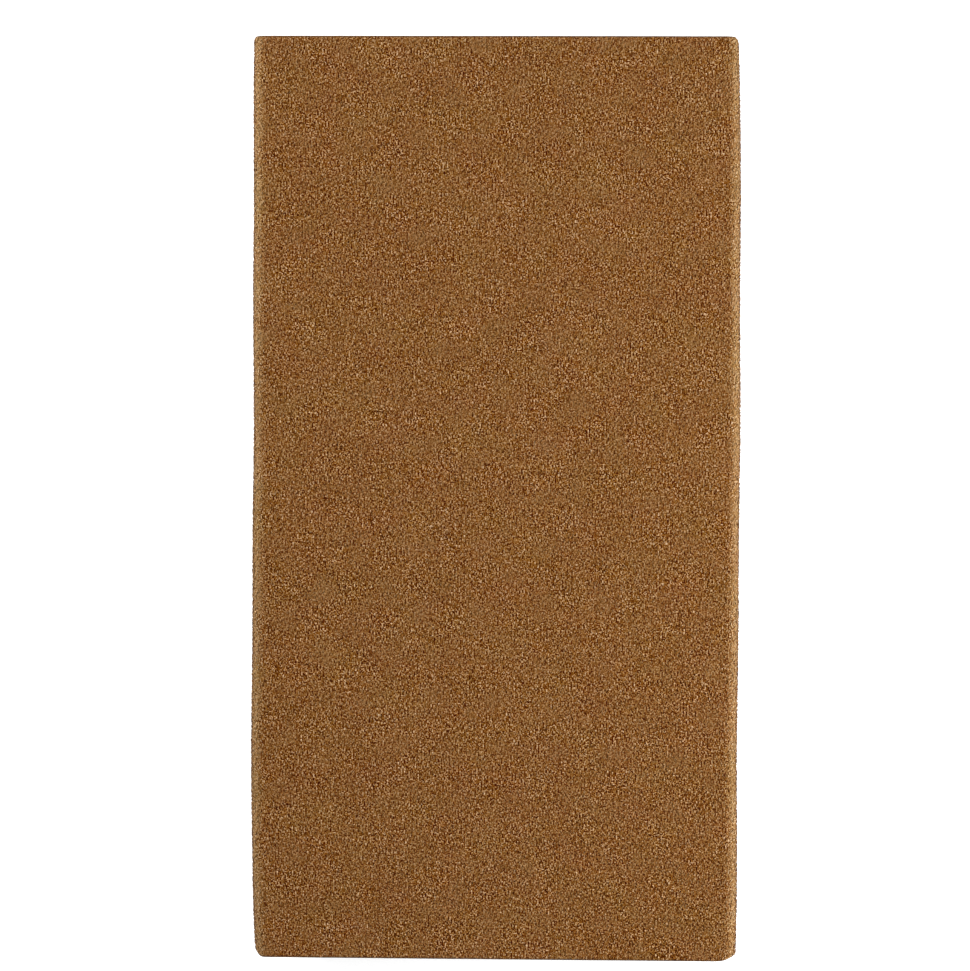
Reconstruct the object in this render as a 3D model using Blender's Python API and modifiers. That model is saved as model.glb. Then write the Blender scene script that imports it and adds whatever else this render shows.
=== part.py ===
"""Foam sanding block: a sponge core with abrasive on its two broad faces and its two long edges.

The block lies flat. Its length runs along Y, its width along X and its thickness along Z, and the
origin is at the middle of its underside. Each of its four long sides carries two bonded layers: a
flexible resin film on the foam, and a coat of abrasive grit on the film. The layers wrap round the
block's long edges and meet their neighbours there, half way round. Both ends are bare foam, cut
straight across. All sizes are in metres.
"""

import math

import bmesh
import bpy

LENGTH = 0.120            # between the two cut ends
WIDTH = 0.0635            # across the grit of the two long edges
THICKNESS = 0.025         # across the grit of the two broad faces
EDGE_RADIUS = 0.0018      # outer radius of the rounded long edges
GRIT_THICKNESS = 0.0005   # abrasive grains, locked together by their size coat
FILM_THICKNESS = 0.0004   # resin film that bonds the grains to the foam
GAP = 0.0003              # clearance between neighbouring pieces
SKIN_FACETS = 8           # flat facets along a skin's half of a rounded edge
FOAM_FACETS = 8           # flat facets along each rounded edge of the foam
MERGE_DISTANCE = 0.00001  # joins the two mirrored halves of a skin

FILM_INSET = GRIT_THICKNESS + GAP                  # from the block's outside in to the film
FOAM_INSET = FILM_INSET + FILM_THICKNESS + GAP     # from the block's outside in to the foam

# Each long side: how far it is turned about Y from facing up, and half its span and its reach,
# the distance from the middle of the block out to it.
SIDES = {
    "top": (0.0, WIDTH / 2, THICKNESS / 2),
    "right": (math.pi / 2, THICKNESS / 2, WIDTH / 2),
    "bottom": (math.pi, WIDTH / 2, THICKNESS / 2),
    "left": (-math.pi / 2, THICKNESS / 2, WIDTH / 2),
}


def clear_scene():
    """Remove every object that the file opened with."""
    for thing in list(bpy.data.objects):
        bpy.data.objects.remove(thing, do_unlink=True)


def make_material(name, colour, roughness):
    """A matt, non-metallic material with one colour (linear red, green, blue)."""
    material = bpy.data.materials.new(name)
    material.use_nodes = True
    shader = material.node_tree.nodes["Principled BSDF"]
    shader.inputs["Base Color"].default_value = (*colour, 1.0)
    shader.inputs["Roughness"].default_value = roughness
    shader.inputs["Metallic"].default_value = 0.0
    return material


def half_profile(inset, thickness, half_span, reach):
    """Half of a skin's outer line: flat from the middle of its side, then round to the seam.

    The skin stops short of the half-way point of the rounded edge, so that its inner corner
    stays half a gap away from it. Each point is (distance across, distance out).
    """
    radius = EDGE_RADIUS - inset
    centre_across = half_span - EDGE_RADIUS
    centre_out = reach - EDGE_RADIUS
    seam_clearance = math.asin(GAP / 2 / (radius - thickness))
    sweep = math.pi / 4 - seam_clearance
    points = [(0.0, centre_out + radius)]
    for step in range(SKIN_FACETS + 1):
        angle = sweep * step / SKIN_FACETS
        across = centre_across + radius * math.sin(angle)
        out = centre_out + radius * math.cos(angle)
        points.append((across, out))
    return points


def extrude_along_length(name, profile):
    """An open sheet: the profile, drawn at one end of the block and extruded to the other."""
    sheet = bmesh.new()
    corners = [sheet.verts.new((across, -LENGTH / 2, out)) for across, out in profile]
    edges = [sheet.edges.new(pair) for pair in zip(corners, corners[1:])]
    drawn = bmesh.ops.extrude_edge_only(sheet, edges=edges)
    far_end = [item for item in drawn["geom"] if isinstance(item, bmesh.types.BMVert)]
    bmesh.ops.translate(sheet, verts=far_end, vec=(0.0, LENGTH, 0.0))
    sheet.normal_update()
    bmesh.ops.reverse_faces(sheet, faces=[face for face in sheet.faces if face.normal.z < 0.0])
    mesh = bpy.data.meshes.new(name)
    sheet.to_mesh(mesh)
    sheet.free()
    return mesh


def make_skin(name, side, inset, thickness, material, centre, collection):
    """One bonded layer on one long side: a mirrored open sheet, thickened towards the foam."""
    turn, half_span, reach = SIDES[side]
    mesh = extrude_along_length(name, half_profile(inset, thickness, half_span, reach))
    mesh.materials.append(material)
    mesh.shade_smooth()
    mesh.set_sharp_from_angle(angle=math.radians(30))
    skin = bpy.data.objects.new(name, mesh)
    skin.rotation_euler = (0.0, turn, 0.0)
    skin.parent = centre
    collection.objects.link(skin)

    mirror = skin.modifiers.new("OtherHalf", "MIRROR")
    mirror.use_axis = (True, False, False)
    mirror.merge_threshold = MERGE_DISTANCE
    solidify = skin.modifiers.new("LayerThickness", "SOLIDIFY")
    solidify.thickness = thickness
    solidify.offset = -1.0
    solidify.use_even_offset = True


def mark_long_edges(mesh):
    """Give the bevel its weight on the four edges that run along the block's length."""
    weights = mesh.attributes.new("bevel_weight_edge", "FLOAT", "EDGE")
    for edge in mesh.edges:
        start, end = (mesh.vertices[index].co for index in edge.vertices)
        runs_lengthwise = abs(end.y - start.y) > LENGTH / 2
        weights.data[edge.index].value = 1.0 if runs_lengthwise else 0.0


def make_foam_core(material, centre, collection):
    """The sponge: a box with its four long edges rounded and its ends cut square."""
    bpy.ops.mesh.primitive_cube_add(size=1.0)
    core = bpy.context.object
    core.name = "foam_core"
    core.data.name = "foam_core"
    core.scale = (WIDTH - 2 * FOAM_INSET, LENGTH, THICKNESS - 2 * FOAM_INSET)
    bpy.ops.object.transform_apply(location=False, rotation=False, scale=True)
    for holder in core.users_collection:
        holder.objects.unlink(core)
    collection.objects.link(core)
    core.parent = centre
    core.data.materials.append(material)

    mark_long_edges(core.data)
    bevel = core.modifiers.new("RoundedLongEdges", "BEVEL")
    bevel.limit_method = "WEIGHT"
    bevel.width = EDGE_RADIUS - FOAM_INSET
    bevel.segments = FOAM_FACETS
    core.data.shade_smooth()
    core.data.set_sharp_from_angle(angle=math.radians(30))


def build():
    """Make the block: the foam core, then a film and a grit coat on each of its long sides."""
    clear_scene()
    collection = bpy.data.collections.new("sanding_block")
    bpy.context.scene.collection.children.link(collection)
    centre = bpy.data.objects.new("block_centre", None)
    centre.location = (0.0, 0.0, THICKNESS / 2)
    collection.objects.link(centre)

    foam = make_material("charcoal_foam", (0.035, 0.034, 0.035), 0.95)
    film = make_material("brown_resin_film", (0.130, 0.055, 0.018), 0.60)
    grit = make_material("brown_abrasive_grit", (0.231, 0.102, 0.032), 0.75)

    make_foam_core(foam, centre, collection)
    for side in SIDES:
        film_name = f"{side}_resin_film"
        grit_name = f"{side}_grit_coat"
        make_skin(film_name, side, FILM_INSET, FILM_THICKNESS, film, centre, collection)
        make_skin(grit_name, side, 0.0, GRIT_THICKNESS, grit, centre, collection)


build()
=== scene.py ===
"""Looks of the foam sanding block: sponge, resin films and abrasive grit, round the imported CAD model.

The block lies flat, with its length along Y and its thickness along Z. Each of its four long sides
has a strip of resin film and a strip of grit that wrap half way round the block's long edges. A
point on a side is given by how far it is along the length, how far it is across, measured round the
edge, and its height over the block's outer surface. wrap() turns that into a place, and soften()
gives all pieces the same slightly uneven form that a cut and coated sponge has.
"""

import math

import bpy
import numpy as np
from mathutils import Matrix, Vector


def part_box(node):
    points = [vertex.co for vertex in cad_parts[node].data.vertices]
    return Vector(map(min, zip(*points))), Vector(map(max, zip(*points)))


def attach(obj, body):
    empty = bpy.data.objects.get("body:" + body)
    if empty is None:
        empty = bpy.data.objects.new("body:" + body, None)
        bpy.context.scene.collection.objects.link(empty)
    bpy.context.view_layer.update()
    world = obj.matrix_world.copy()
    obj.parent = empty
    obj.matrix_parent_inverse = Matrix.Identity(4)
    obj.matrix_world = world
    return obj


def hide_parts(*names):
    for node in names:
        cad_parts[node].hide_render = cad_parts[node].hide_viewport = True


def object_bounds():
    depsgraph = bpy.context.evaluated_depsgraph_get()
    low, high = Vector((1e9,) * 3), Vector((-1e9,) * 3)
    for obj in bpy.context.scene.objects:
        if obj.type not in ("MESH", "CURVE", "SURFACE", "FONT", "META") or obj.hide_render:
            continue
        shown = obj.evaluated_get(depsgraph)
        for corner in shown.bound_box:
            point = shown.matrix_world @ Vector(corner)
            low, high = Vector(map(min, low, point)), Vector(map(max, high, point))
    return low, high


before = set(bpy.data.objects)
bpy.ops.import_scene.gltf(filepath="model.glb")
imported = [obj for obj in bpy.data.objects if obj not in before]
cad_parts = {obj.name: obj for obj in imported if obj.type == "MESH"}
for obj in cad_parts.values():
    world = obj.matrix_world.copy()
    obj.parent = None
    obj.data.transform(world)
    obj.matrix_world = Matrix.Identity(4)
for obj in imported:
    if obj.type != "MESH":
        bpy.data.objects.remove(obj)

MM = 0.001

# --- The block's sizes ---------------------------------------------------------------------------

CAD_LOW, CAD_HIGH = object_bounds()
WIDTH, LENGTH, THICKNESS = CAD_HIGH - CAD_LOW
EDGE_RADIUS = 1.8 * MM                                   # of the four rounded long edges
FILM_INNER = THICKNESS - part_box("top_resin_film")[1].z   # how deep the resin meets the foam
BLOCK_CENTRE = np.array([0.0, 0.0, THICKNESS / 2])

# Each long side's outward direction, its direction across, half its span, and its reach, which is
# the distance from the middle of the block out to it.
SIDES = {
    "top": ((0, 0, 1), (1, 0, 0), WIDTH / 2, THICKNESS / 2),
    "right": ((1, 0, 0), (0, 0, -1), THICKNESS / 2, WIDTH / 2),
    "bottom": ((0, 0, -1), (-1, 0, 0), WIDTH / 2, THICKNESS / 2),
    "left": ((-1, 0, 0), (0, 0, 1), THICKNESS / 2, WIDTH / 2),
}


def flat_half_width(side):
    """From the middle of a side to where its rounded edge begins."""
    return SIDES[side][2] - EDGE_RADIUS


def strip_half_width(side):
    """From the middle of a side to the half-way point of its rounded edge, along the surface."""
    return flat_half_width(side) + EDGE_RADIUS * math.pi / 4


def wrap(side, along, across, height):
    """The places of points on a side, which follow its flat and then its rounded edges."""
    outward, sideways, _, reach = SIDES[side]
    flat = flat_half_width(side)
    turn = np.clip(np.abs(across) - flat, 0.0, None) / EDGE_RADIUS
    ring = EDGE_RADIUS + height
    out = reach - EDGE_RADIUS + ring * np.cos(turn)
    over = np.sign(across) * (np.minimum(np.abs(across), flat) + ring * np.sin(turn))
    place = out[..., None] * np.array(outward, float) + over[..., None] * np.array(sideways, float)
    place[..., 1] += along
    return place + BLOCK_CENTRE


# --- The soft form -------------------------------------------------------------------------------

SWELL = 0.115 * MM         # how far the long sides stand out at the far end
TAPER = 0.15 * MM          # how much less they stand out at the near end
DRAW_LENGTH = 7.0 * MM     # how far from an end the drawing in of its corners dies away
# For each corner, its sides along X and Y, how far it is drawn in, and its radii in plan.
CORNERS = (
    (-1, 1, -0.05 * MM, (0.4 * MM, 0.4 * MM)),
    (1, 1, 0.48 * MM, (0.7 * MM, 0.7 * MM)),
    (-1, -1, 0.60 * MM, (1.2 * MM, 1.2 * MM)),
    (1, -1, 0.13 * MM, (3.2 * MM, 1.0 * MM)),
)
# Waves in the long sides: their height, radians to half the block's length, and phase.
RIPPLES = (
    (0.06 * MM, 5.3, 1.1),
    (0.04 * MM, 13.0, -0.6),
)
FAR_END_SKEW = 0.13 * MM   # the cut ends are this far out of square at each long side
NEAR_END_SKEW = 0.15 * MM
DISH = 0.12 * MM           # how far the upper face sinks in its middle
# Waves in the upper face: their height, radians to half its width, phase, and radians to half its
# length.
FACE_WAVES = (0.04 * MM, 4.0, 2.0, 5.0)
SIDE_POWER = 3             # the higher, the closer to the long sides their changes stay
END_POWER = 8              # the higher, the closer to the ends their skew stays
DISH_POWER = 4             # the higher, the closer to the ends the dish reaches


def round_corner(place, side_x, side_y, radii):
    """Turn one square vertical corner into a quarter ellipse, and leave the rest as it is."""
    radius_x, radius_y = radii
    right = (place[..., 0] * side_x - (WIDTH / 2 - radius_x)) / radius_x
    back = (place[..., 1] * side_y - (LENGTH / 2 - radius_y)) / radius_y
    inside = (right > 0) & (back > 0)
    u = np.clip(right, 0.0, 1.0)
    v = np.clip(back, 0.0, 1.0)
    shrink_x = (u * np.sqrt(1 - v * v / 2) - u) * radius_x * side_x
    shrink_y = (v * np.sqrt(1 - u * u / 2) - v) * radius_y * side_y
    place[..., 0] += np.where(inside, shrink_x, 0.0)
    place[..., 1] += np.where(inside, shrink_y, 0.0)


def shift_sides(x, y):
    """How far points move along X: the long sides swell, taper, ripple and draw in at the corners.

    Here and below, x, y and z are places from the block's middle, as parts of half its size.
    """
    shift = x * (SWELL - TAPER * (1 - y) / 2)
    for side_x, side_y, draw, _ in CORNERS:
        from_end = (1 - y * side_y) * LENGTH / 2
        near_side = np.clip(x * side_x, 0.0, 1.0) ** SIDE_POWER
        shift -= side_x * near_side * draw * np.exp(-from_end / DRAW_LENGTH)
    ripple = sum(height * np.sin(rate * y + phase) for height, rate, phase in RIPPLES)
    return shift + np.abs(x) ** SIDE_POWER * ripple


def shift_ends(x, y):
    """How far points move along Y: the cut ends are a little out of square."""
    skew = np.where(y > 0, FAR_END_SKEW * x, NEAR_END_SKEW * -x)
    return skew * np.abs(y) ** END_POWER


def shift_upper_face(x, y, z):
    """How far points move along Z: the upper face is slightly dished and wavy."""
    bowl = 0.5 + 0.5 * np.cos(math.pi * np.clip(x, -1, 1))
    dish = DISH * bowl * (1 - y ** DISH_POWER)
    height, rate_x, phase, rate_y = FACE_WAVES
    dish += height * np.sin(rate_x * x + phase) * np.cos(rate_y * y)
    return -np.clip(z, 0.0, 1.0) * np.clip(dish, 0.0, None)


def soften(place):
    """The block's own slight unevenness, which all of its pieces share."""
    place = place.copy()
    for side_x, side_y, _, radii in CORNERS:
        round_corner(place, side_x, side_y, radii)
    x = place[..., 0] / (WIDTH / 2)
    y = place[..., 1] / (LENGTH / 2)
    z = (place[..., 2] - THICKNESS / 2) / (THICKNESS / 2)
    place[..., 0] += shift_sides(x, y)
    place[..., 1] += shift_ends(x, y)
    place[..., 2] += shift_upper_face(x, y, z)
    return place


# --- What the coat is like from place to place ---------------------------------------------------

PATCH_SEED = 7
PATCH_WAVES = 40                    # slow waves whose sum makes calm and rough patches
PATCH_SIZE = (1.2 * MM, 8.0 * MM)   # length of the shortest and the longest wave
PATCH_SPREAD = 0.19                 # how far the roughness departs from 1
ROUGHNESS_LIMITS = (0.45, 2.2)
EDGE_HIGHLIGHT_CALM = 0.25                    # how much of the roughness is gone under the painted highlight of the long edges
EDGE_HIGHLIGHT_POWER = 1.5                    # the higher, the narrower the painted highlight along an edge


def roughness_at(along, across):
    """How rough the coat is at places on a side. It is about 1, less where more resin lies."""
    rng = np.random.default_rng(PATCH_SEED)
    total = np.zeros(along.shape)
    for _ in range(PATCH_WAVES):
        turn, phase = rng.uniform(0.0, 2 * math.pi, 2)
        distance = along * math.cos(turn) + across * math.sin(turn)
        wavelength = rng.uniform(*PATCH_SIZE)
        total += np.sin(2 * math.pi * distance / wavelength + phase)
    rough = 1.0 + PATCH_SPREAD * total / math.sqrt(PATCH_WAVES / 2)
    return np.clip(rough, *ROUGHNESS_LIMITS)


def edge_turn(side, across):
    """How far round its rounded edge a place is: 0 on the flat, and pi / 4 half way round."""
    past_flat = np.abs(across) - flat_half_width(side)
    return np.clip(past_flat, 0.0, EDGE_RADIUS * math.pi / 4) / EDGE_RADIUS


def painted_edge_highlight_at(side, across):
    """Painted highlight on the rounded edges: 0 on the flats, and 1 half way round a long edge."""
    return np.sin(2 * edge_turn(side, across)) ** EDGE_HIGHLIGHT_POWER


def painted_side_shade_at(side, across):
    """How strongly the painted shade of the long sides shows: 0 on the upper and lower faces and at the
    seams, and 1 on the flats of the long sides.

    The long sides are darkened to offset the low side lights, which strike them harder than the
    upper face.
    """
    if side in ("top", "bottom"):
        return np.zeros(across.shape)
    return np.cos(2 * edge_turn(side, across))


# --- Mesh helpers --------------------------------------------------------------------------------

ALONG_FINENESS = 1.22      # the speckle is this much finer along the block than across it


def quads(corner):
    """The four-cornered faces between neighbours in a grid of corner numbers."""
    around = [corner[:-1, :-1], corner[:-1, 1:], corner[1:, 1:], corner[1:, :-1]]
    return np.stack(around, axis=-1).reshape(-1, 4)


def make_object(name, points, faces, uvs, material):
    """A mesh object with flat-shaded faces and its own UV layout."""
    mesh = bpy.data.meshes.new(name)
    mesh.from_pydata(points.reshape(-1, 3), [], faces)
    layer = mesh.uv_layers.new(name="OFBake")
    layer.uv.foreach_set("vector", uvs.astype(np.float32).ravel())
    mesh.materials.append(material)
    made = bpy.data.objects.new(name, mesh)
    bpy.context.scene.collection.objects.link(made)
    return made


def set_attribute(made, name, domain, values):
    """Store one number for each point or face of a mesh, for its material to read."""
    layer = made.data.attributes.new(name, "FLOAT", domain)
    layer.data.foreach_set("value", values.astype(np.float32).ravel())


def set_sheet(made, along, across):
    """Store each point's place on the unrolled side, for the fine speckle to follow."""
    along = along * ALONG_FINENESS
    layer = made.data.attributes.new("sheet", "FLOAT_VECTOR", "POINT")
    places = np.stack([along.ravel(), across.ravel(), np.zeros(along.size)], axis=-1)
    layer.data.foreach_set("vector", places.astype(np.float32).ravel())


def stand_for(made, node):
    """The piece rides with the block and takes a CAD node's place."""
    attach(made, "root")
    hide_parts(node)


# --- Material helpers ----------------------------------------------------------------------------


def new_material(name):
    """A material, and its Principled shader."""
    material = bpy.data.materials.new(name)
    material.use_nodes = True
    return material, material.node_tree.nodes["Principled BSDF"]


def add_node(material, kind, inputs=None, **settings):
    """Add a shader node. An input is a plain value, or another node's output to link."""
    made = material.node_tree.nodes.new("ShaderNode" + kind)
    for key, value in settings.items():
        setattr(made, key, value)
    for socket, value in (inputs or {}).items():
        if isinstance(value, bpy.types.NodeSocket):
            material.node_tree.links.new(value, made.inputs[socket])
        else:
            made.inputs[socket].default_value = value
    return made


def attribute(material, name):
    """A stored number of the mesh."""
    return add_node(material, "Attribute", attribute_name=name).outputs["Fac"]


def noise(material, size):
    """Noise in the object's own space. Its features are about size across."""
    where = add_node(material, "TexCoord").outputs["Object"]
    inputs = {"Vector": where, "Scale": 1.0 / size, "Detail": 2.0}
    return add_node(material, "TexNoise", inputs).outputs["Fac"]


def speckle(material, size):
    """Fine speckle about size across, spread over a side like a skin and free of slow drifts."""
    where = add_node(material, "Attribute", attribute_name="sheet").outputs["Vector"]
    inputs = {"Vector": where, "Scale": 1.0 / size, "Detail": 0.0}
    return add_node(material, "TexNoise", inputs, noise_dimensions="2D").outputs["Fac"]


def math_node(material, operation, first, second, clamp=False):
    """One step of arithmetic on two numbers or outputs."""
    made = add_node(material, "Math", {0: first, 1: second}, operation=operation)
    made.use_clamp = clamp
    return made.outputs[0]


def weighted_sum(material, base, terms):
    """base plus, for each (output, weight), the output's distance from a half times its weight."""
    total = base
    for output, weight in terms:
        centred = math_node(material, "SUBTRACT", output, 0.5)
        weighted = math_node(material, "MULTIPLY", centred, weight)
        total = math_node(material, "ADD", weighted, total)
    return total


def ramp(material, factor, stops):
    """Colours along a factor, from (position, (red, green, blue)) stops in linear light."""
    made = add_node(material, "ValToRGB", {"Fac": factor})
    elements = made.color_ramp.elements
    while len(elements) < len(stops):
        elements.new(0.5)
    for element, (position, colour) in zip(elements, stops):
        element.position = position
        element.color = (*colour, 1.0)
    return made.outputs["Color"]


def spread(material, factor, low, high):
    """A factor from 0 to 1, spread between two values."""
    inputs = {"Value": factor, "To Min": low, "To Max": high}
    return add_node(material, "MapRange", inputs).outputs["Result"]


def connect(material, output, shader, socket):
    """Link an output to one of the shader's sockets."""
    material.node_tree.links.new(output, shader.inputs[socket])


# --- Materials of the coat -----------------------------------------------------------------------

# Brown aluminium oxide and its resin, from painted shade in the darkest pits to the palest grains
# and painted glints.
BROWNS = (
    (0.04, (0.024, 0.000, 0.000)),
    (0.24, (0.072, 0.011, 0.000)),
    (0.37, (0.115, 0.034, 0.000)),
    (0.50, (0.167, 0.069, 0.014)),
    (0.65, (0.233, 0.118, 0.046)),
    (0.81, (0.316, 0.187, 0.098)),
    (1.00, (0.444, 0.302, 0.195)),
)
# Resin that the knife has cut through: duller, and without pale grit.
CUT_BROWNS = (
    (0.35, (0.026, 0.014, 0.008)),
    (0.65, (0.085, 0.047, 0.024)),
)
CUT_SPOT_SIZE = 0.25 * MM   # of the cut resin's darker and paler spots

GRIT_LEVEL = 0.535          # the grains' place on the browns, before the changes below
FILM_LEVEL = 0.494          # the resin film's, likewise
# Finest speckle: tones of grains too small to model, with painted pit shade and painted glints.
SPECKLE_SIZE = 0.200 * MM   # of the finest speckle, and how strongly it shows
SPECKLE_WEIGHT = 1.24
CLUMP_SIZE = 0.55 * MM      # of clumps of grains that are paler or darker together
CLUMP_WEIGHT = 0.19
TONE_WEIGHT = 0.10          # how much one grain differs from the next
FACET_WEIGHT = 0.06         # how much one face of a grain differs from the next
DRIFT_SIZE = 8.0 * MM       # of slow changes in level
DRIFT_WEIGHT = 0.05

# What rough places, the painted highlight of the long edges and the painted shade of the long
# sides do to the level, the hue and the saturation. A hue of 0.5 and a saturation of 1 leave the
# browns as they are.
ROUGH_LEVEL = -0.065
EDGE_HIGHLIGHT_LEVEL = 0.11
SIDE_SHADE_LEVEL = -0.15
HUE_LIMITS = (0.4995, 0.5155)       # between which the hue changes slowly
HUE_DRIFT_SIZE = 0.6 * DRIFT_SIZE   # of those changes
EDGE_HIGHLIGHT_HUE = 0.007
SIDE_SHADE_HUE = 0.006
SATURATION = 0.919
ROUGH_SATURATION = 0.10
EDGE_HIGHLIGHT_SATURATION = -0.03
SIDE_SHADE_SATURATION = -0.10

COAT_ROUGHNESS = (0.55, 0.80)
GRIT_SHEEN_SIZE = 0.5 * MM   # of the patches in which the grains' gloss varies
FILM_SHEEN_SIZE = 0.9 * MM   # and the film's
COAT_GLOSS = 0.05            # faint, as the size coat is matt
COAT_GLOSS_TINT = (1.0, 0.80, 0.45, 1.0)


def add_side_shade(material, value, amount):
    """A value that changes by an amount under the painted shade of the long sides."""
    change = math_node(material, "MULTIPLY", attribute(material, "side_shade"), amount)
    return math_node(material, "ADD", value, change)


def coat_level(material, base, fine_parts):
    """A place on the browns: speckle that is strong where the coat is rough, and slow changes."""
    rough = attribute(material, "rough")
    fine = weighted_sum(material, 0.0, fine_parts)
    fine = math_node(material, "MULTIPLY", fine, rough)
    slow_parts = (
        (noise(material, DRIFT_SIZE), DRIFT_WEIGHT),
        (rough, ROUGH_LEVEL),
        # Painted highlight: paler along the long edges.
        (attribute(material, "edge_highlight"), EDGE_HIGHLIGHT_LEVEL),
    )
    # Painted shade: darker on the long sides.
    slow = add_side_shade(material, weighted_sum(material, base, slow_parts), SIDE_SHADE_LEVEL)
    return math_node(material, "ADD", fine, slow, clamp=True)


def coat_colour(material, base, fine_parts):
    """The brown of the coat, whose hue and saturation also change slowly from place to place."""
    # The painted highlight of the long edges also changes the hue and the saturation.
    edge_highlight = attribute(material, "edge_highlight")
    hue = spread(material, noise(material, HUE_DRIFT_SIZE), *HUE_LIMITS)
    # The painted shade of the long sides changes the hue and the saturation too.
    hue = add_side_shade(material, weighted_sum(material, hue, ((edge_highlight, EDGE_HIGHLIGHT_HUE),)), SIDE_SHADE_HUE)
    parts = ((attribute(material, "rough"), ROUGH_SATURATION), (edge_highlight, EDGE_HIGHLIGHT_SATURATION))
    saturation = weighted_sum(material, SATURATION, parts)
    saturation = add_side_shade(material, saturation, SIDE_SHADE_SATURATION)
    brown = ramp(material, coat_level(material, base, fine_parts), BROWNS)
    inputs = {"Hue": hue, "Saturation": saturation, "Color": brown}
    return add_node(material, "HueSaturation", inputs).outputs["Color"]


def coat_speckle(material):
    """The speckle that grains and resin share."""
    # Painted pit shade and glints, with the fine grains' own tones.
    grain_speckle_and_shade = (speckle(material, SPECKLE_SIZE), SPECKLE_WEIGHT)
    clumps = (speckle(material, CLUMP_SIZE), CLUMP_WEIGHT)
    return grain_speckle_and_shade, clumps


def add_coat_gloss(material, shader, size):
    """The faint, warm gloss of the coat, which varies in patches about size across."""
    roughness = spread(material, noise(material, size), *COAT_ROUGHNESS)
    connect(material, roughness, shader, "Roughness")
    shader.inputs["Specular IOR Level"].default_value = COAT_GLOSS
    shader.inputs["Specular Tint"].default_value = COAT_GLOSS_TINT


def grit_material():
    """Brown aluminium oxide under a thin size coat: each grain has its own tone."""
    material, shader = new_material("abrasive_grit")
    tone = (attribute(material, "tone"), TONE_WEIGHT)
    facet = (attribute(material, "facet"), FACET_WEIGHT)
    colour = coat_colour(material, GRIT_LEVEL, (tone, facet, *coat_speckle(material)))
    connect(material, colour, shader, "Base Color")
    add_coat_gloss(material, shader, GRIT_SHEEN_SIZE)
    return material


def film_material():
    """The cured resin between the grains, full of fine grit: darker than the grains."""
    material, shader = new_material("resin_film")
    colour = coat_colour(material, FILM_LEVEL, coat_speckle(material))
    cut_colour = ramp(material, noise(material, CUT_SPOT_SIZE), CUT_BROWNS)
    # Of the Mix node's sockets, these are its factor, its first and second colour and its result.
    inputs = {0: attribute(material, "cut"), 6: colour, 7: cut_colour}
    mixed = add_node(material, "Mix", inputs, data_type="RGBA").outputs[2]
    connect(material, mixed, shader, "Base Color")
    add_coat_gloss(material, shader, FILM_SHEEN_SIZE)
    return material


# --- Material of the foam ------------------------------------------------------------------------

# From the rims between the cells to the bottoms of the deepest ones: charcoal darkened by painted
# shade the deeper a cell goes.
CHARCOALS_AND_CELL_SHADE = (
    (0.00, (0.070, 0.068, 0.070)),
    (0.25, (0.036, 0.035, 0.037)),
    (0.60, (0.016, 0.016, 0.017)),
    (1.00, (0.006, 0.006, 0.006)),
)
FOAM_MOTTLE_SIZE = 0.25 * MM   # of fine dark and pale spots, and how strongly they show
FOAM_MOTTLE_WEIGHT = 0.5
FOAM_DRIFT_SIZE = 6 * MM       # of slow changes in tone
FOAM_DRIFT_WEIGHT = 0.2
FOAM_ROUGHNESS = (0.75, 1.0)
FOAM_SHEEN_SIZE = 0.3 * MM     # of the patches in which its gloss varies
FOAM_GLOSS = 0.3


def foam_material():
    """Charcoal open-cell foam: pale cell rims, and pores darkened by painted shade."""
    material, shader = new_material("charcoal_foam")
    mottle = (noise(material, FOAM_MOTTLE_SIZE), FOAM_MOTTLE_WEIGHT)
    drift = (noise(material, FOAM_DRIFT_SIZE), FOAM_DRIFT_WEIGHT)
    # Painted shade: the deeper a point lies in a cell, the darker.
    shade = weighted_sum(material, attribute(material, "depth"), (mottle, drift))
    connect(material, ramp(material, shade, CHARCOALS_AND_CELL_SHADE), shader, "Base Color")
    roughness = spread(material, noise(material, FOAM_SHEEN_SIZE), *FOAM_ROUGHNESS)
    connect(material, roughness, shader, "Roughness")
    shader.inputs["Specular IOR Level"].default_value = FOAM_GLOSS
    return material


# --- Grit ----------------------------------------------------------------------------------------

GRIT_SEED = 100                 # of the first side; each further side takes the next number
GRAIN_AREA = (0.39 * MM) ** 2   # of coat to each grain
GRAIN_JITTER = 0.16 * MM        # how far a grain may lie from its even spacing
PLASTIC_RATIO = 1.32471795724   # root of x ** 3 = x + 1; steps of its powers spread points evenly
CUT_MARGIN = 0.30 * MM          # the knife has knocked the grains off this far from a cut end
GRAIN_RADIUS = 0.25 * MM
GRAIN_SIZES = (0.75, 1.25)      # of the smallest and the largest grain, as parts of that radius
GRAIN_FLATNESS = 0.34           # height over width: the size coat fills round each chip
GRAIN_SINK = 0.07 * MM          # the lowest grain's tip is this far below the highest's
SINK_POWER = 1.5                # the higher, the more grains stand near the top

# A chip's corners and faces. Each corner is moved in or out by its own share, within limits.
CHIP = np.array([(1, 1, 1), (1, -1, -1), (-1, 1, -1), (-1, -1, 1)]) / math.sqrt(3)
CHIP_FACES = np.array([(0, 1, 2), (0, 3, 1), (0, 2, 3), (1, 3, 2)])
CHIP_CORNERS = len(CHIP)
CORNER_REACH = (0.75, 1.3)

# Grains differ in tone by a spread with long tails, so that a few are much paler or darker: partly
# grains of that tone, and partly painted glints and painted shade.
TONE_MIDDLE = 0.5
TONE_SPREAD = 0.2
TONE_TAILS = 4                  # degrees of freedom: the fewer, the longer the tails
TONE_LIMITS = (-1.5, 2.5)


def spread_grains(rng, side):
    """Grain positions on a side, evenly spread but in no rows. Returns along and across."""
    width = 2 * strip_half_width(side)
    uncut = LENGTH - 2 * CUT_MARGIN
    number = np.arange(round(width * uncut / GRAIN_AREA))
    along = ((number / PLASTIC_RATIO) % 1 - 0.5) * uncut
    across = ((number / PLASTIC_RATIO ** 2) % 1 - 0.5) * width
    along += rng.uniform(-GRAIN_JITTER, GRAIN_JITTER, len(number))
    across += rng.uniform(-GRAIN_JITTER, GRAIN_JITTER, len(number))
    return along, across


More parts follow.
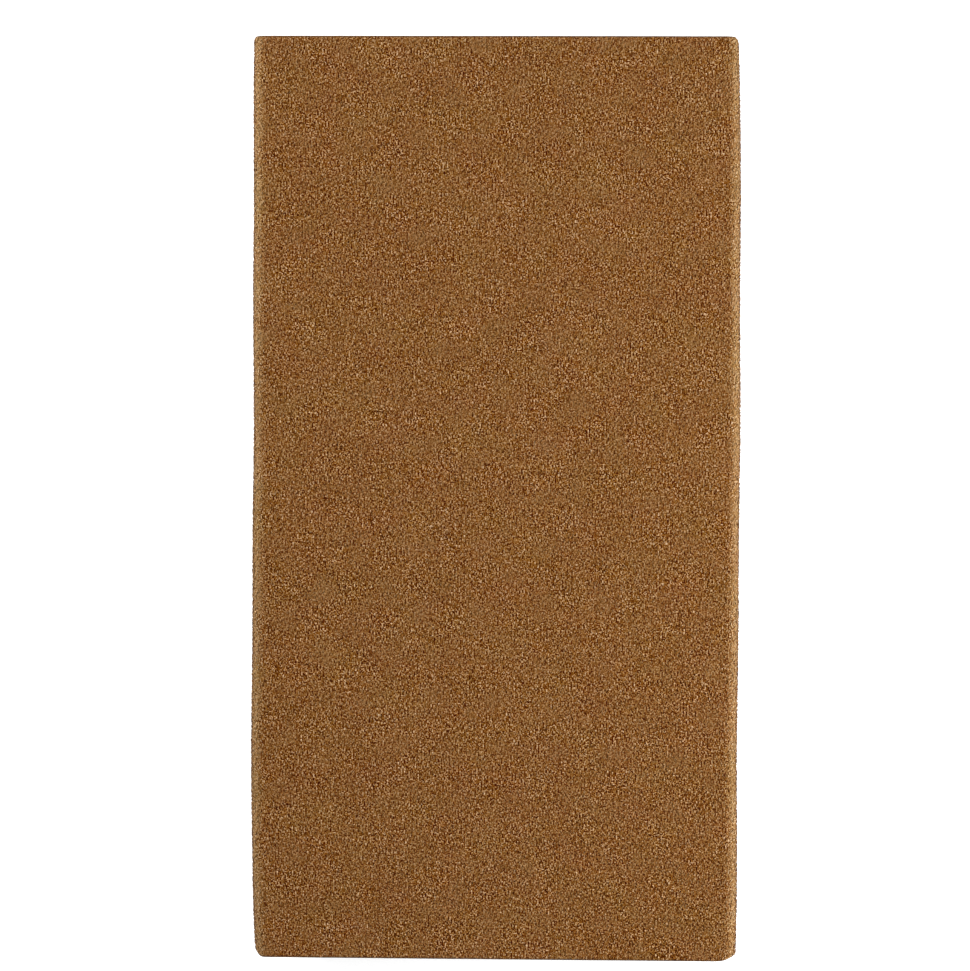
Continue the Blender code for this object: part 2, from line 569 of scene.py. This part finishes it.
def random_turns(rng, count):
    """Rotation matrices (count, 3, 3) that point in all directions alike."""
    spin = rng.normal(size=(count, 4))
    w, x, y, z = (spin / np.linalg.norm(spin, axis=1, keepdims=True)).T
    rows = [
        [1 - 2 * (y * y + z * z), 2 * (x * y - z * w), 2 * (x * z + y * w)],
        [2 * (x * y + z * w), 1 - 2 * (x * x + z * z), 2 * (y * z - x * w)],
        [2 * (x * z - y * w), 2 * (y * z + x * w), 1 - 2 * (x * x + y * y)],
    ]
    return np.moveaxis(np.array(rows), 2, 0)


def chips(rng, count):
    """Corner offsets (count, 4, 3) of irregular four-cornered chips of radius about 1."""
    corners = CHIP * rng.uniform(*CORNER_REACH, (count, CHIP_CORNERS, 1))
    return np.einsum("nij,nkj->nki", random_turns(rng, count), corners)


def grain_offsets(rng, rough):
    """How far each grain's corners (count, 4, 3) lie along, across and up from its place."""
    count = len(rough)
    size = GRAIN_RADIUS * rng.uniform(*GRAIN_SIZES, count)
    offset = chips(rng, count) * size[:, None, None]
    offset[:, :, 2] *= GRAIN_FLATNESS * rough[:, None]
    tip = offset[:, :, 2].max(axis=1)
    sink = GRAIN_SINK * rough * rng.uniform(0.0, 1.0, count) ** SINK_POWER
    offset[:, :, 2] -= tip[:, None]
    offset[:, :, 2] -= sink[:, None]
    return offset


def grit_layout(side, along, across):
    """Each corner's place in the UV layout, which is the side unrolled."""
    half_width = strip_half_width(side) + 2 * GRAIN_RADIUS
    u = (along / LENGTH + 0.5).ravel()
    v = (across / half_width / 2 + 0.5).ravel()
    return np.stack([u, v], axis=-1)


def set_grain_attributes(made, rng, values, face_count):
    """Give all corners of a grain its own values, and each of its faces a tone of its own."""
    for name, of_grains in values.items():
        set_attribute(made, name, "POINT", np.repeat(of_grains, CHIP_CORNERS))
    count = len(values["rough"])
    tone = TONE_MIDDLE + TONE_SPREAD * rng.standard_t(TONE_TAILS, count)
    tone = np.clip(tone, *TONE_LIMITS)
    set_attribute(made, "tone", "POINT", np.repeat(tone, CHIP_CORNERS))
    set_attribute(made, "facet", "FACE", rng.uniform(0.0, 1.0, face_count))


def make_grit(side, seed, material):
    """The grains of one side, each a closed chip with its own size, turn, height and tone."""
    rng = np.random.default_rng(seed)
    grain_along, grain_across = spread_grains(rng, side)
    count = len(grain_along)
    rough = roughness_at(grain_along, grain_across)
    # How strongly the painted highlight of the long edges shows at each grain.
    edge_highlight = painted_edge_highlight_at(side, grain_across)
    offset = grain_offsets(rng, rough)
    along = np.clip(grain_along[:, None] + offset[:, :, 0], -LENGTH / 2, LENGTH / 2)
    across = grain_across[:, None] + offset[:, :, 1]
    points = soften(wrap(side, along, across, offset[:, :, 2]))
    faces = (CHIP_FACES + CHIP_CORNERS * np.arange(count)[:, None, None]).reshape(-1, 3)
    uvs = grit_layout(side, along, across)[faces]
    made = make_object(side + "_grit", points, faces, uvs, material)
    set_sheet(made, along, across)
    values = {
        "rough": rough * (1 - EDGE_HIGHLIGHT_CALM * edge_highlight),
        "edge_highlight": edge_highlight,
        # Painted shade of the long sides.
        "side_shade": painted_side_shade_at(side, grain_across),
    }
    set_grain_attributes(made, rng, values, len(faces))
    stand_for(made, side + "_grit_coat")


# --- Resin film ----------------------------------------------------------------------------------

FILM_SEED = 300               # of the first side; each further side takes the next number
FILM_STEP = 0.55 * MM         # between neighbouring points of its surface
FILM_OUTER = -0.13 * MM       # the outer surface's height over the block's
FILM_RELIEF = 0.03 * MM       # how far, at most, its points lie off that height
CUT_DROP = 0.08 * MM          # how far the knife has pressed the film down at the cut ends
OUTER_SHARE = (0.0, 0.7)      # of the UV layout's height, for the film's outer surface
INNER_SHARE = (0.8, 1.0)      # and for its inner one


def film_grid(rng, side):
    """The film's points, in rows along the block. Returns their along, across and height.

    The outer surface's rows come first. The inner surface's rows follow in reverse order, so that
    the two make a closed loop.
    """
    half_width = strip_half_width(side)
    rows = round(2 * half_width / FILM_STEP)
    uncut = LENGTH / 2 - CUT_MARGIN
    along_line = np.linspace(-uncut, uncut, round(LENGTH / FILM_STEP))
    along_line = np.concatenate([[-LENGTH / 2], along_line, [LENGTH / 2]])
    across_line = np.linspace(-half_width, half_width, rows)
    across_line = np.concatenate([across_line, across_line[::-1]])
    height_line = np.concatenate([np.full(rows, FILM_OUTER), np.full(rows, -FILM_INNER)])

    columns = len(along_line)
    along = np.tile(along_line, (2 * rows, 1))
    across = np.tile(across_line[:, None], columns)
    height = np.tile(height_line[:, None], columns)
    height[:rows] += rng.uniform(-FILM_RELIEF, FILM_RELIEF, (rows, columns))
    height[:rows, [0, -1]] -= CUT_DROP
    return along, across, height


def film_faces(rows, columns):
    """The faces of a loop of outer and inner rows, and those that close its two ends."""
    loop = np.arange(2 * rows * columns).reshape(2 * rows, columns)
    outer = loop[:rows]
    inner = loop[rows:][::-1]
    near = np.stack([outer[:-1, 0], outer[1:, 0], inner[1:, 0], inner[:-1, 0]], axis=-1)
    far = np.stack([outer[1:, -1], outer[:-1, -1], inner[:-1, -1], inner[1:, -1]], axis=-1)
    skin = quads(np.concatenate([loop, loop[:1]]))
    return np.concatenate([skin, near, far])


def film_layout(rows, along):
    """Each point's place in the UV layout, which has a strip for either surface."""
    u = along / LENGTH + 0.5
    v = np.concatenate([np.linspace(*OUTER_SHARE, rows), np.linspace(*INNER_SHARE, rows)])
    v = np.tile(v[:, None], along.shape[1])
    return np.stack([u.ravel(), v.ravel()], axis=-1)


def make_film(side, seed, material):
    """The resin of one side: a closed strip with an uneven outer surface and a smooth inner one."""
    rng = np.random.default_rng(seed)
    along, across, height = film_grid(rng, side)
    rows = along.shape[0] // 2
    columns = along.shape[1]
    points = soften(wrap(side, along, across, height))
    faces = film_faces(rows, columns)
    uvs = film_layout(rows, along)[faces]
    made = make_object(side + "_film", points, faces, uvs, material)
    set_sheet(made, along - height, across)
    # How strongly the painted highlight of the long edges shows at each point.
    edge_highlight = painted_edge_highlight_at(side, across)
    rough = roughness_at(along, across) * (1 - EDGE_HIGHLIGHT_CALM * edge_highlight)
    set_attribute(made, "rough", "POINT", rough)
    set_attribute(made, "edge_highlight", "POINT", edge_highlight)
    # Painted shade of the long sides.
    set_attribute(made, "side_shade", "POINT", painted_side_shade_at(side, across))
    set_attribute(made, "cut", "POINT", np.abs(along) > LENGTH / 2 - CUT_MARGIN / 2)
    stand_for(made, side + "_resin_film")


# --- Foam core -----------------------------------------------------------------------------------

FOAM_HALF_WIDTH = WIDTH / 2 - FILM_INNER
FOAM_HALF_HEIGHT = THICKNESS / 2 - FILM_INNER
FOAM_RADIUS = EDGE_RADIUS - FILM_INNER   # of its rounded long edges
FOAM_STEP = 0.19 * MM         # between neighbouring points of its cut ends
FOAM_SECTIONS = 17            # rings of points along the length
FOAM_SHARP_ANGLE = 40         # degrees: its surface looks smooth over flatter edges than this

END_SEEDS = (501, 502)        # of the near and the far cut end
CELL_PITCH = 0.95 * MM        # from cell to cell
CELL_JITTER = 0.28            # how far a cell may lie from its even spacing, in pitches
CELL_RADII = (0.37, 0.61)     # of the smallest and the largest cell, in pitches
CELL_MIDDLES = (-0.10, 0.70)  # how deep a cell's middle lies, as parts of its radius

CAP_SHARE = 0.45              # of the UV layout's height, for each cut end
FAR_CAP_START = 0.47
SIDES_START = 0.96            # the hidden sides share a strip of it
SIDES_SHARE = 0.03


def foam_cells(rng):
    """The cells at a cut end: for each, its middle's x and z, its radius and its middle's depth."""
    pitch_z = CELL_PITCH * math.sqrt(3) / 2
    column, row = np.meshgrid(
        np.arange(-1, math.ceil(2 * FOAM_HALF_WIDTH / CELL_PITCH) + 1),
        np.arange(-1, math.ceil(2 * FOAM_HALF_HEIGHT / pitch_z) + 1),
    )
    x = (column + 0.5 * (row % 2)) * CELL_PITCH - FOAM_HALF_WIDTH
    z = row * pitch_z - FOAM_HALF_HEIGHT
    x += rng.uniform(-CELL_JITTER, CELL_JITTER, column.shape) * CELL_PITCH
    z += rng.uniform(-CELL_JITTER, CELL_JITTER, column.shape) * CELL_PITCH
    radius = CELL_PITCH * rng.uniform(*CELL_RADII, column.size)
    middle = radius * rng.uniform(*CELL_MIDDLES, column.size)
    return zip(x.ravel(), z.ravel(), radius, middle)


def cell_depths(rng, x_line, z_line):
    """How deep each point of a cut end lies: the foam's cells are spheres, cut anywhere."""
    depth = np.zeros((len(x_line), len(z_line)))
    for cell_x, cell_z, radius, middle in foam_cells(rng):
        reach = math.sqrt(radius * radius - middle * middle)
        x_first, x_end = np.searchsorted(x_line, (cell_x - reach, cell_x + reach))
        z_first, z_end = np.searchsorted(z_line, (cell_z - reach, cell_z + reach))
        from_x = (x_line[x_first:x_end, None] - cell_x) ** 2
        from_z = (z_line[None, z_first:z_end] - cell_z) ** 2
        apart = from_x + from_z
        bowl = middle + np.sqrt(np.clip(radius * radius - apart, 0.0, None))
        bowl = np.where(apart < reach * reach, bowl, 0.0)
        depth[x_first:x_end, z_first:z_end] = np.maximum(depth[x_first:x_end, z_first:z_end], bowl)
    return depth


def round_section(x, z):
    """Move the points of the foam's rectangular section so that its four corners become round."""
    u = np.clip((np.abs(x) - (FOAM_HALF_WIDTH - FOAM_RADIUS)) / FOAM_RADIUS, 0.0, 1.0)
    v = np.clip((np.abs(z) - (FOAM_HALF_HEIGHT - FOAM_RADIUS)) / FOAM_RADIUS, 0.0, 1.0)
    new_x = x + np.sign(x) * (u * np.sqrt(1 - v * v / 2) - u) * FOAM_RADIUS
    new_z = z + np.sign(z) * (v * np.sqrt(1 - u * u / 2) - v) * FOAM_RADIUS
    return new_x, new_z


def rim_numbers(columns, rows):
    """The numbers of the points round the rim of a section, in order."""
    return np.concatenate([
        np.arange(columns) * rows,
        (columns - 1) * rows + np.arange(1, rows),
        np.arange(columns - 2, -1, -1) * rows + rows - 1,
        np.arange(rows - 2, 0, -1),
    ])


def foam_points(x_line, z_line, rim):
    """The foam's points and how deep in a cell each lies: the near end, the far end, the rings."""
    x, z = round_section(*np.meshgrid(x_line, z_line, indexing="ij"))
    points = []
    depths = []
    for end, seed in zip((-1, 1), END_SEEDS):
        depth = cell_depths(np.random.default_rng(seed), x_line, z_line)
        depth.ravel()[rim] = 0.0
        y = end * (LENGTH / 2 - depth)
        points.append(np.stack([x, y, z], axis=-1).reshape(-1, 3))
        depths.append(depth.ravel())
    for section in range(1, FOAM_SECTIONS - 1):
        ring = points[0][rim].copy()
        ring[:, 1] = (section / (FOAM_SECTIONS - 1) - 0.5) * LENGTH
        points.append(ring)
        depths.append(np.zeros(len(rim)))
    return np.concatenate(points) + BLOCK_CENTRE, np.concatenate(depths)


def foam_faces(columns, rows, rim):
    """The faces of the foam's two cut ends, and those of its sides."""
    cap = columns * rows
    near = quads(np.arange(cap).reshape(columns, rows))
    far = near[:, ::-1] + cap
    between = 2 * cap + np.arange((FOAM_SECTIONS - 2) * len(rim)).reshape(-1, len(rim))
    rings = np.concatenate([rim[None], between, rim[None] + cap])
    after = np.roll(rings, -1, axis=1)
    sides = np.stack([rings[:-1], rings[1:], after[1:], after[:-1]], axis=-1).reshape(-1, 4)
    return np.concatenate([near, far]), sides


def foam_layout(points, caps, sides):
    """The UV layout of the foam's faces. Each cut end has nearly half of it."""
    cap_points = caps.max() + 1
    u = points[:, 0] / FOAM_HALF_WIDTH / 2 + 0.5
    v = ((points[:, 2] - THICKNESS / 2) / FOAM_HALF_HEIGHT / 2 + 0.5) * CAP_SHARE
    v[cap_points // 2:cap_points] += FAR_CAP_START
    uvs = np.stack([u, v], axis=-1)[np.concatenate([caps, sides])]
    along = points[sides][..., 1] / LENGTH + 0.5
    uvs[-len(sides):, :, 1] = SIDES_START + SIDES_SHARE * along
    return uvs


def make_foam(material):
    """The sponge core: two cut ends full of open cells, and plain sides under the resin."""
    columns = round(2 * FOAM_HALF_WIDTH / FOAM_STEP)
    rows = round(2 * FOAM_HALF_HEIGHT / FOAM_STEP)
    x_line = np.linspace(-FOAM_HALF_WIDTH, FOAM_HALF_WIDTH, columns)
    z_line = np.linspace(-FOAM_HALF_HEIGHT, FOAM_HALF_HEIGHT, rows)
    rim = rim_numbers(columns, rows)
    points, depths = foam_points(x_line, z_line, rim)
    caps, sides = foam_faces(columns, rows, rim)
    faces = np.concatenate([caps, sides])
    uvs = foam_layout(points, caps, sides)
    made = make_object("foam_sponge", soften(points), faces, uvs, material)
    made.data.shade_smooth()
    made.data.set_sharp_from_angle(angle=math.radians(FOAM_SHARP_ANGLE))
    # How deep each point lies in a cell, which the foam's material turns into painted shade.
    set_attribute(made, "depth", "POINT", depths / CELL_PITCH)
    stand_for(made, "foam_core")


# --- Stage ---------------------------------------------------------------------------------------

FLOOR_SIZE = 6.0
FLOOR_GREY = (0.85, 0.85, 0.85, 1.0)
FLOOR_GLOW = 0.38            # keeps the floor pale right up to the block
FLOOR_ROUGHNESS = 0.8
FLOOR_GLOSS = 0.2
WHITE = (1.0, 1.0, 1.0, 1.0)
SURROUNDINGS_GLOW = 0.60
# The lights' names, places, widths and watts.
LIGHTS = (
    ("right_light", (0.26, -0.02, 0.14), 0.16, 1.80),
    ("left_light", (-0.28, 0.17, 0.14), 0.16, 2.0),
)

VIEW_HEIGHT = 126.1 * MM     # of what the camera takes in, at the block's upper face
LENS = 120.0                 # millimetres, as is the sensor
SENSOR = 36.0
CAMERA_LEFT = 1.45 * MM      # of the block's middle
CAMERA_BACK = 1.565 * MM     # beyond the block's middle
CAMERA_ROLL = 0.30           # degrees


def aim(thing, target):
    """Turn a light so that it shines at a point."""
    thing.rotation_mode = "QUATERNION"
    thing.rotation_quaternion = (target - thing.location).to_track_quat("-Z", "Y")


def add_light(name, place, size, watts, target):
    """A square soft light."""
    data = bpy.data.lights.new(name, "AREA")
    data.shape = "SQUARE"
    data.size = size
    data.energy = watts
    lamp = bpy.data.objects.new(name, data)
    lamp.location = place
    bpy.context.scene.collection.objects.link(lamp)
    aim(lamp, target)


def make_floor():
    """A wide, plain, pale floor under the block."""
    bpy.ops.mesh.primitive_plane_add(size=FLOOR_SIZE)
    floor = bpy.context.object
    floor.name = "floor"
    material, shader = new_material("pale_floor")
    shader.inputs["Base Color"].default_value = FLOOR_GREY
    shader.inputs["Emission Color"].default_value = WHITE
    shader.inputs["Emission Strength"].default_value = FLOOR_GLOW
    shader.inputs["Roughness"].default_value = FLOOR_ROUGHNESS
    shader.inputs["Specular IOR Level"].default_value = FLOOR_GLOSS
    floor.data.materials.append(material)


def make_surroundings():
    """Even pale light from all round."""
    world = bpy.data.worlds.new("surroundings")
    world.use_nodes = True
    background = world.node_tree.nodes["Background"]
    background.inputs["Color"].default_value = WHITE
    background.inputs["Strength"].default_value = SURROUNDINGS_GLOW
    bpy.context.scene.world = world
    bpy.context.scene.view_settings.view_transform = "Standard"


def make_camera():
    """A long lens that looks straight down on the block, with the block's length upright."""
    data = bpy.data.cameras.new("camera")
    data.lens = LENS
    data.sensor_width = SENSOR
    camera = bpy.data.objects.new("camera", data)
    distance = VIEW_HEIGHT * LENS / SENSOR
    camera.location = (-CAMERA_LEFT, CAMERA_BACK, THICKNESS + distance)
    camera.rotation_euler = (0.0, 0.0, math.radians(CAMERA_ROLL))
    bpy.context.scene.collection.objects.link(camera)
    bpy.context.scene.camera = camera


def make_stage():
    """The floor, the soft lights, the pale surroundings and the camera."""
    make_floor()
    for name, place, size, watts in LIGHTS:
        add_light(name, place, size, watts, (CAD_LOW + CAD_HIGH) / 2)
    make_surroundings()
    make_camera()


def build():
    """Make every piece and the stage."""
    make_foam(foam_material())
    grit = grit_material()
    film = film_material()
    for number, side in enumerate(SIDES):
        make_film(side, FILM_SEED + number, film)
        make_grit(side, GRIT_SEED + number, grit)
    make_stage()


build()
